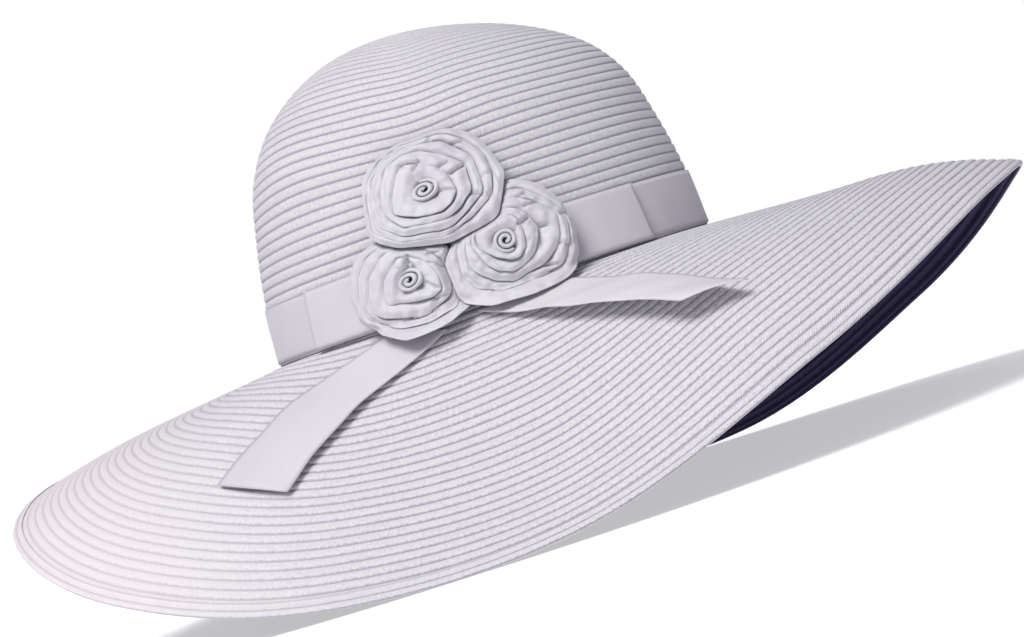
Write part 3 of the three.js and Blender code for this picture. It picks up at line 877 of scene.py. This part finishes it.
LEFT_WRAPS = [
    [
        (-169, 4.7, 0.4), (-128, 5.3, 0.7), (-80, 4.6, 0.4), (-41, 5.3, 1.6), (-20, 4.8, 1.6),
        (23, 4.4, 0.6), (60, 4.8, 1.8), (94, 4.6, 0.8), (132, 4.5, 0.4),
    ],
    [
        (-172, 10.2, 0.3), (-146, 11.7, 0.6), (-131, 9, 0.8), (-109, 8.2, 0.9), (-80, 8.6, 1.3),
        (-54, 11, 1.3), (-34, 12.4, 0.9), (-8, 10.6, 0.4), (18, 9.1, 0.3), (45, 8.6, 0.4),
        (75, 8.7, 0.8), (97, 9.1, 0.3), (123, 8, 0.3), (157, 9, 0.35),
    ],
    [
        (-175, 16.3, 0.2), (-154, 18, 0.7), (-140, 16.7, 1.3), (-124, 14.7, 1.1), (-109, 14.1, 1.1),
        (-84, 14, 1), (-72, 14.2, 0.8), (-47, 15.2, 1.2), (-37, 15.5, 1.2), (-15, 14.3, 0.4),
        (19, 12.9, 0.9), (45, 12.3, 0.6), (76, 12.2, 0.3), (98, 13.1, 0.3), (125, 13.8, 0.3),
        (158, 15.1, 0.3),
    ],
    [
        (-177, 21.1, 0.2), (-155, 21.5, 0.4), (-131, 18.4, 0.8), (-115, 17.4, 0.9), (-99, 16.6, 1),
        (-84, 16.9, 1), (-75, 17.3, 0.9), (-64, 17.4, 1.1), (-48, 19.4, 0.7), (-34, 19.1, 0.3),
        (-9, 17, 0.2), (24, 15.9, 0.4), (51, 15.2, 0.3), (82, 15.3, 0.1), (112, 17, 0.2),
        (140, 19.4, 0.4), (160, 20.1, 0.3),
    ],
    [
        (-158, 26, 0), (-136, 22.3, 0), (-104, 21.5, 0), (-86, 20.8, 0), (-66, 21.7, 0),
        (-54, 22.1, 0), (-41, 23.5, 0), (-20, 21.2, 0), (14, 18.7, 0), (46, 17.7, 0), (78, 18, 0),
        (108, 20.2, 0), (130, 22.2, 0), (143, 24.2, 0), (159, 25.2, 0), (179, 25.6, 0),
    ],
]
LEFT_CREASES = [
    (0.7, 4.9, 1.9, 9.2, 1.3), (2.8, 3.9, 1.8, 6.7, 1), (4.7, -1.7, 9.6, -6.3, 0.8),
    (8.4, 4.5, 12.9, 1, 0.8), (8.2, 7.5, 13.3, 6.8, 0.9), (6.6, -9.6, 12.4, -8.9, 0.6),
]

# "rims" are the heights of the folded edges over the place where the rose is sewn on
ROSES = [
    {
        "name": "rose_upper", "azimuth": -96.5, "height": 45, "lift": 2.6,
        "bud_across": -1.59, "bud_up": -1.94, "bud_turn": 12, "bud_stretch": 1.28,
        "rims": [10.9, 10.2, 9.1, 7.9, 6.7, 5.3], "wraps": UPPER_WRAPS, "creases": UPPER_CREASES,
    },
    {
        "name": "rose_right", "azimuth": -82.5, "height": 16, "lift": 0.8,
        "bud_across": -2.74, "bud_up": 0.55, "bud_turn": 60, "bud_stretch": 1.04,
        "rims": [10.4, 9.7, 8.7, 7.6, 6.4, 5.1], "wraps": RIGHT_WRAPS, "creases": RIGHT_CREASES,
    },
    {
        "name": "rose_left", "azimuth": -107.5, "height": 15, "lift": 0.0,
        "bud_across": 2.22, "bud_up": -1.47, "bud_turn": 20, "bud_stretch": 1.22,
        "rims": [10.0, 9.2, 7.9, 6.5, 5.0], "wraps": LEFT_WRAPS, "creases": LEFT_CREASES,
    },
]

# A wrap's section: tucked under the one inside, out over its top, round the fold and back beneath
WRAP_SECTION = [
    {"share": 0.0, "turn": 0, "back": 2.6, "down": 2.2, "map": -2.6},
    {"share": 0.0, "turn": 0, "back": 1.3, "down": 1.0, "map": -1.3},
    {"share": 0.0, "turn": 0, "back": 0.5, "down": 0.35, "map": -0.5},
    *(
        {"share": share, "turn": 0, "back": 0, "down": 0, "map": FOLD_START * share}
        for share in (0.06, 0.18, 0.32, 0.46, 0.6, 0.74, 0.87, 1.0)
    ),
    {"share": 1.0, "turn": 28, "back": 0, "down": 0, "map": 10.4},
    {"share": 1.0, "turn": 56, "back": 0, "down": 0, "map": 10.8},
    {"share": 1.0, "turn": 84, "back": 0, "down": 0, "map": 11.2},
    {"share": 1.0, "turn": 112, "back": 0, "down": 0, "map": 11.7},
    {"share": 1.0, "turn": 140, "back": 0, "down": 0, "map": 12.2},
    {"share": 1.0, "turn": 165, "back": 0.1, "down": 0.1, "map": 12.8},
    {"share": 1.0, "turn": 165, "back": 1.0, "down": 0.6, "map": 14.0},
    {"share": 1.0, "turn": 165, "back": 2.0, "down": 1.8, "map": 15.5},
]


def rose_place(rose, across, up, thickness):
    """Across and up from the rose's middle, thickness out from where it is sewn on."""
    height = rose["height"] + up
    azimuth = rose["azimuth"] + across / math.radians(CROWN_HALF_WIDTH)
    seat = ROSE_SEAT + (ROSE_SEAT_ABOVE - ROSE_SEAT) * smooth_step(height, ROSE_SEAT_FROM, ROSE_SEAT_TO)
    seat = seat + rose["lift"] * smooth_step(up, ROSE_LIFT_FROM, ROSE_LIFT_TO)
    below = np.maximum(-height, 0)
    length = length_at_height(np.maximum(height, 0))
    points = crown_point(length, azimuth, seat + thickness + below * ROSE_FLARE)
    points[:, 2] = np.where(height < 0, REST_HEIGHT + height, points[:, 2])
    return points


def closed_corners(wrap, angle):
    """The corners with the first repeated after the last, and the angles within their full turn."""
    corners = np.array([*wrap, (wrap[0][0] + 360, *wrap[0][1:])], float)
    return corners, (angle - corners[0, 0]) % 360 + corners[0, 0]


def reach_at(wrap, angle):
    """Straight sides between the corners, with each corner a little rounded."""

    def straight(turned):
        corners, at = closed_corners(wrap, turned)
        index = np.clip(np.searchsorted(corners[:, 0], at, side="right") - 1, 0, len(corners) - 2)
        before, after = np.radians(at - corners[index, 0]), np.radians(corners[index + 1, 0] - at)
        near, far = corners[index, 1], corners[index + 1, 1]
        return near * far * np.sin(before + after) / (near * np.sin(before) + far * np.sin(after))

    return sum(straight(angle + step) for step in (-3.5, 0, 3.5)) / 3


def step_at(wrap, angle):
    """How far below this wrap's edge the next wrap starts."""
    corners, at = closed_corners(wrap, angle)
    step = np.interp(at, corners[:, 0], corners[:, 2])
    return np.minimum(STEP_SCALE * step**1.4, DEEPEST_STEP)


def rim_level(rose, number, angle):
    turn = np.radians(angle)
    swing = 0.45 * np.sin(turn + 2.1 * number) + 0.4 * np.sin(2 * turn + 1.3 * number + rose["height"])
    return rose["rims"][number] + swing


def crease_relief(rose, x, y):
    """Creases where one fold of a wrap laps over the next."""
    relief = np.zeros_like(x)
    for start_x, start_y, end_x, end_y, depth in rose["creases"]:
        run_x, run_y = end_x - start_x, end_y - start_y
        size = math.hypot(run_x, run_y)
        along = ((x - start_x) * run_x + (y - start_y) * run_y) / size**2
        aside = ((y - start_y) * run_x - (x - start_x) * run_y) / size
        ends = smooth_step(along, -0.12, 0.15) * smooth_step(along, 1.12, 0.85)
        groove = np.exp(-((aside / CREASE_WIDTH) ** 2))
        lap = CREASE_LAP * smooth_step(aside, -0.3, 0.8) * np.exp(-np.maximum(aside, 0) / CREASE_LAP_LENGTH)
        relief += CREASE_DEPTH * depth * (lap - groove) * ends
    return relief


def wrinkles(rose, x, y):
    relief = np.zeros_like(x)
    chance = np.random.default_rng(int(rose["height"]))
    for wave in chance.uniform(2.6, 7.0, 9):
        heading, start = chance.uniform(0, math.pi), chance.uniform(0, 2 * math.pi)
        run = x * math.cos(heading) + y * math.sin(heading)
        relief += WRINKLE_DEPTH * wave * np.sin(run * 2 * math.pi / wave + start)
    return relief


def depth_inside(rose, other, across, up):
    """How far a point of one rose lies inside the outline of another."""
    x = across + (rose["azimuth"] - other["azimuth"]) * math.radians(CROWN_HALF_WIDTH) - other["bud_across"]
    y = up + rose["height"] - other["height"] - other["bud_up"]
    return reach_at(other["wraps"][-1], np.degrees(np.arctan2(y, x))) - np.hypot(x, y)


def lay_wrap(rose, number, overlying):
    inside, wrap = rose["wraps"][number - 1], rose["wraps"][number]
    outermost = number == len(rose["wraps"]) - 1
    columns = [column_of(WRAP_SECTION, key) for key in ("share", "turn", "back", "down")]

    def lay(u, v):
        index = np.rint(v * (len(WRAP_SECTION) - 1)).astype(int)
        share, turn, back, down = (column[index] for column in columns)
        angle = u * 360
        inner, outer = reach_at(inside, angle), reach_at(wrap, angle)
        width = outer - inner
        roll = np.minimum(ROLL, WIDEST_ROLL * width)
        radius = inner + (width - roll) * share + roll * np.sin(np.radians(turn)) - back
        start = rim_level(rose, number - 1, angle) - step_at(inside, angle)
        start = start - (CUP_DEPTH if number == 1 else 0)
        rim = rim_level(rose, number, angle)
        fade = 1.0 if outermost else np.clip(step_at(wrap, angle) / 1.2, 0.12, 1)
        bulge = np.minimum(LEAST_BULGE + 0.2 * width, MOST_BULGE) * np.sin(math.pi * share) ** 0.8
        level = start + (rim - start) * share**1.3 + bulge
        level = level - roll * (1 - np.cos(np.radians(turn))) * fade
        level = level - down * (2.2 if outermost else 1.0)
        x, y = radius * np.cos(np.radians(angle)), radius * np.sin(np.radians(angle))
        on_top = smooth_step(share, 0.0, 0.2) * smooth_step(turn, 120, 40)
        level = level + (crease_relief(rose, x, y) + wrinkles(rose, x, y)) * on_top
        level = np.maximum(level, LEAST_LEVEL)
        across, up = rose["bud_across"] + x, rose["bud_up"] + y
        for other in overlying:
            press = smooth_step(depth_inside(rose, other, across, up), -2.5, 2.0)
            level = level * (1 - press) + np.minimum(level, PRESSED_LEVEL) * press
        return rose_place(rose, across, up, level)

    return lay


BUD_TURNS = 2.15
BUD_PITCH = 1.7
BUD_START = 0.55  # radius at the bud's middle
BUD_BELOW_RIM = 0.8
BUD_STEPS = 44  # in a turn
BUD_RIBBON = 36
BUD_SECTION = [
    {"out": -0.64, "rise": -7.0, "map": -3.0},
    {"out": -0.72, "rise": -2.2, "map": -1.0},
    {"out": -0.68, "rise": -0.9, "map": 3.0},
    {"out": -0.45, "rise": -0.3, "map": 5.0},
    {"out": -0.1, "rise": 0.0, "map": 5.5},
    {"out": 0.35, "rise": -0.12, "map": 6.0},
    {"out": 0.58, "rise": -0.6, "map": 6.6},
    {"out": 0.72, "rise": -1.4, "map": 7.4},
    {"out": 0.68, "rise": -7.0, "map": 11.0},
]


def lay_bud(rose):
    def lay(u, v):
        index = np.rint(v * (len(BUD_SECTION) - 1)).astype(int)
        angle = np.radians(u * BUD_TURNS * 360 + rose["bud_turn"] * 3)
        radius = BUD_START + BUD_PITCH * u * BUD_TURNS + column_of(BUD_SECTION, "out")[index]
        radius = np.maximum(radius, 0.05)
        crest = rose["rims"][0] - BUD_BELOW_RIM + 0.6 * np.sin(u * 3.0 + 0.4) - 0.5 * u
        level = crest + column_of(BUD_SECTION, "rise")[index]
        x = radius * np.cos(angle) * rose["bud_stretch"]
        y = radius * np.sin(angle) / rose["bud_stretch"] ** 0.4
        turn = math.radians(rose["bud_turn"])
        across = rose["bud_across"] + x * math.cos(turn) - y * math.sin(turn)
        up = rose["bud_up"] + x * math.sin(turn) + y * math.cos(turn)
        return rose_place(rose, across, up, level)

    return lay


def map_folds(piece, section, length, deep_below=None, deep_inside=None):
    """Across the ribbon by the section's map, and drawn in where the fold's step fades away, so that the
    painted fold shade thins out there.
    """
    columns = column_of(section, "map")

    def coordinates(u, v):
        across = columns[np.rint(v * (len(section) - 1)).astype(int)]
        if deep_below:
            under = FOLD_START + (across - FOLD_START) * deep_below(u * 360)
            tucked = TUCK_END + (across - TUCK_END) * deep_inside(u * 360)
            across = np.where(across < TUCK_END, tucked, np.where(across > FOLD_START, under, across))
        return across, u * length

    map_cloth(piece, "ribbon", coordinates)


def depth_share(rose, number):
    if number == len(rose["wraps"]) - 1:
        return np.ones_like
    return lambda angle: smooth_step(step_at(rose["wraps"][number], angle), 0.6, 1.7)


def rose_piece(rose, overlying):
    """One rose: its bud and wraps joined into a single folded ribbon."""
    bud_steps = int(BUD_TURNS * BUD_STEPS)
    bud = grid_piece(rose["name"] + "_ribbon", bud_steps, len(BUD_SECTION) - 1, lay_bud(rose))
    map_folds(bud, BUD_SECTION, BUD_RIBBON)
    folds = []
    for number in range(1, len(rose["wraps"])):
        name = rose["name"] + "_wrap_" + str(number)
        fold = grid_piece(name, WRAP_STEPS, len(WRAP_SECTION) - 1, lay_wrap(rose, number, overlying))
        length = 2 * math.pi * rose["wraps"][number][0][1]
        map_folds(fold, WRAP_SECTION, length, depth_share(rose, number), depth_share(rose, number - 1))
        folds.append(fold)
    deselect_all()
    for fold in folds:
        fold.select_set(True)
    bud.select_set(True)
    bpy.context.view_layer.objects.active = bud
    bpy.ops.object.join()
    close_seams(bud, flip=True)
    thicken(bud, ROSE_CLOTH_WALL)
    dress(bud, rose_cloth)
    finish_piece(bud, rose["name"])


for index, rose in enumerate(ROSES):
    rose_piece(rose, ROSES[:index])


# Floor, light and camera

FLOOR_SIZE = 40  # in metres

deselect_all()
bpy.ops.mesh.primitive_plane_add(size=FLOOR_SIZE, location=(0, 0, 0))
floor = bpy.context.object
floor.name = "floor"
floor_paint = Finish("pale_floor", roughness=0.9, specular=0.0)
floor_paint.shader.inputs["Base Color"].default_value = shade(0.7, 0.7, 0.72)
floor_paint.shader.inputs["Emission Color"].default_value = shade(1.0, 1.0, 1.0)
floor_paint.shader.inputs["Emission Strength"].default_value = 0.5
floor.data.materials.append(floor_paint.material)


def add_sun(name, azimuth, elevation, strength, spread, colour):
    light = bpy.data.lights.new(name, "SUN")
    light.energy = strength
    light.angle = math.radians(spread)
    light.color = colour
    lamp = bpy.data.objects.new(name, light)
    bpy.context.scene.collection.objects.link(lamp)
    lamp.rotation_euler = (math.radians(90 - elevation), 0, math.radians(azimuth + 90))


add_sun("key_light", azimuth=-117, elevation=54, strength=2.85, spread=30, colour=(1.0, 0.995, 0.97))
add_sun("front_light", azimuth=-108, elevation=14, strength=0.32, spread=40, colour=(1.0, 0.985, 0.985))
add_sun("top_light", azimuth=-120, elevation=80, strength=0.4, spread=80, colour=(0.97, 0.97, 1.0))

world = bpy.data.worlds.new("studio")
bpy.context.scene.world = world
world.use_nodes = True
nodes, links = world.node_tree.nodes, world.node_tree.links
surround = nodes["Background"]
surround.inputs["Color"].default_value = shade(0.70, 0.65, 1.0)
surround.inputs["Strength"].default_value = 0.18
backdrop = nodes.new("ShaderNodeBackground")
backdrop.inputs["Color"].default_value = shade(1.0, 1.0, 1.0)
backdrop.inputs["Strength"].default_value = 1.0
seen = nodes.new("ShaderNodeLightPath")
choose = nodes.new("ShaderNodeMixShader")
sources = (seen.outputs["Is Camera Ray"], surround.outputs[0], backdrop.outputs[0])
for source, socket in zip(sources, choose.inputs):
    links.new(source, socket)
links.new(choose.outputs[0], nodes["World Output"].inputs[0])

bpy.context.scene.view_settings.view_transform = "Standard"
bpy.context.scene.view_settings.look = "None"


def place_camera():
    yaw, pitch, roll = (math.radians(angle) for angle in (CAMERA_YAW, CAMERA_PITCH, CAMERA_ROLL))
    forward = np.array([math.sin(yaw) * math.cos(pitch), math.cos(yaw) * math.cos(pitch), math.sin(pitch)])
    right = np.array([math.cos(yaw), -math.sin(yaw), 0])
    up = np.cross(right, forward)
    across = math.cos(roll) * right - math.sin(roll) * up
    upward = math.sin(roll) * right + math.cos(roll) * up
    camera = bpy.data.cameras.new("camera")
    camera.sensor_width = CAMERA_SENSOR
    camera.lens = CAMERA_LENS
    holder = bpy.data.objects.new("camera", camera)
    bpy.context.scene.collection.objects.link(holder)
    place = np.array([HAT_X, HAT_Y - CAMERA_DISTANCE, REST_HEIGHT - CAMERA_BELOW_BASE]) * MM
    rows = [[*row, at] for row, at in zip(np.array([across, upward, -forward]).T, place)]
    holder.matrix_world = Matrix([*rows, [0, 0, 0, 1]])
    bpy.context.scene.camera = holder


place_camera()
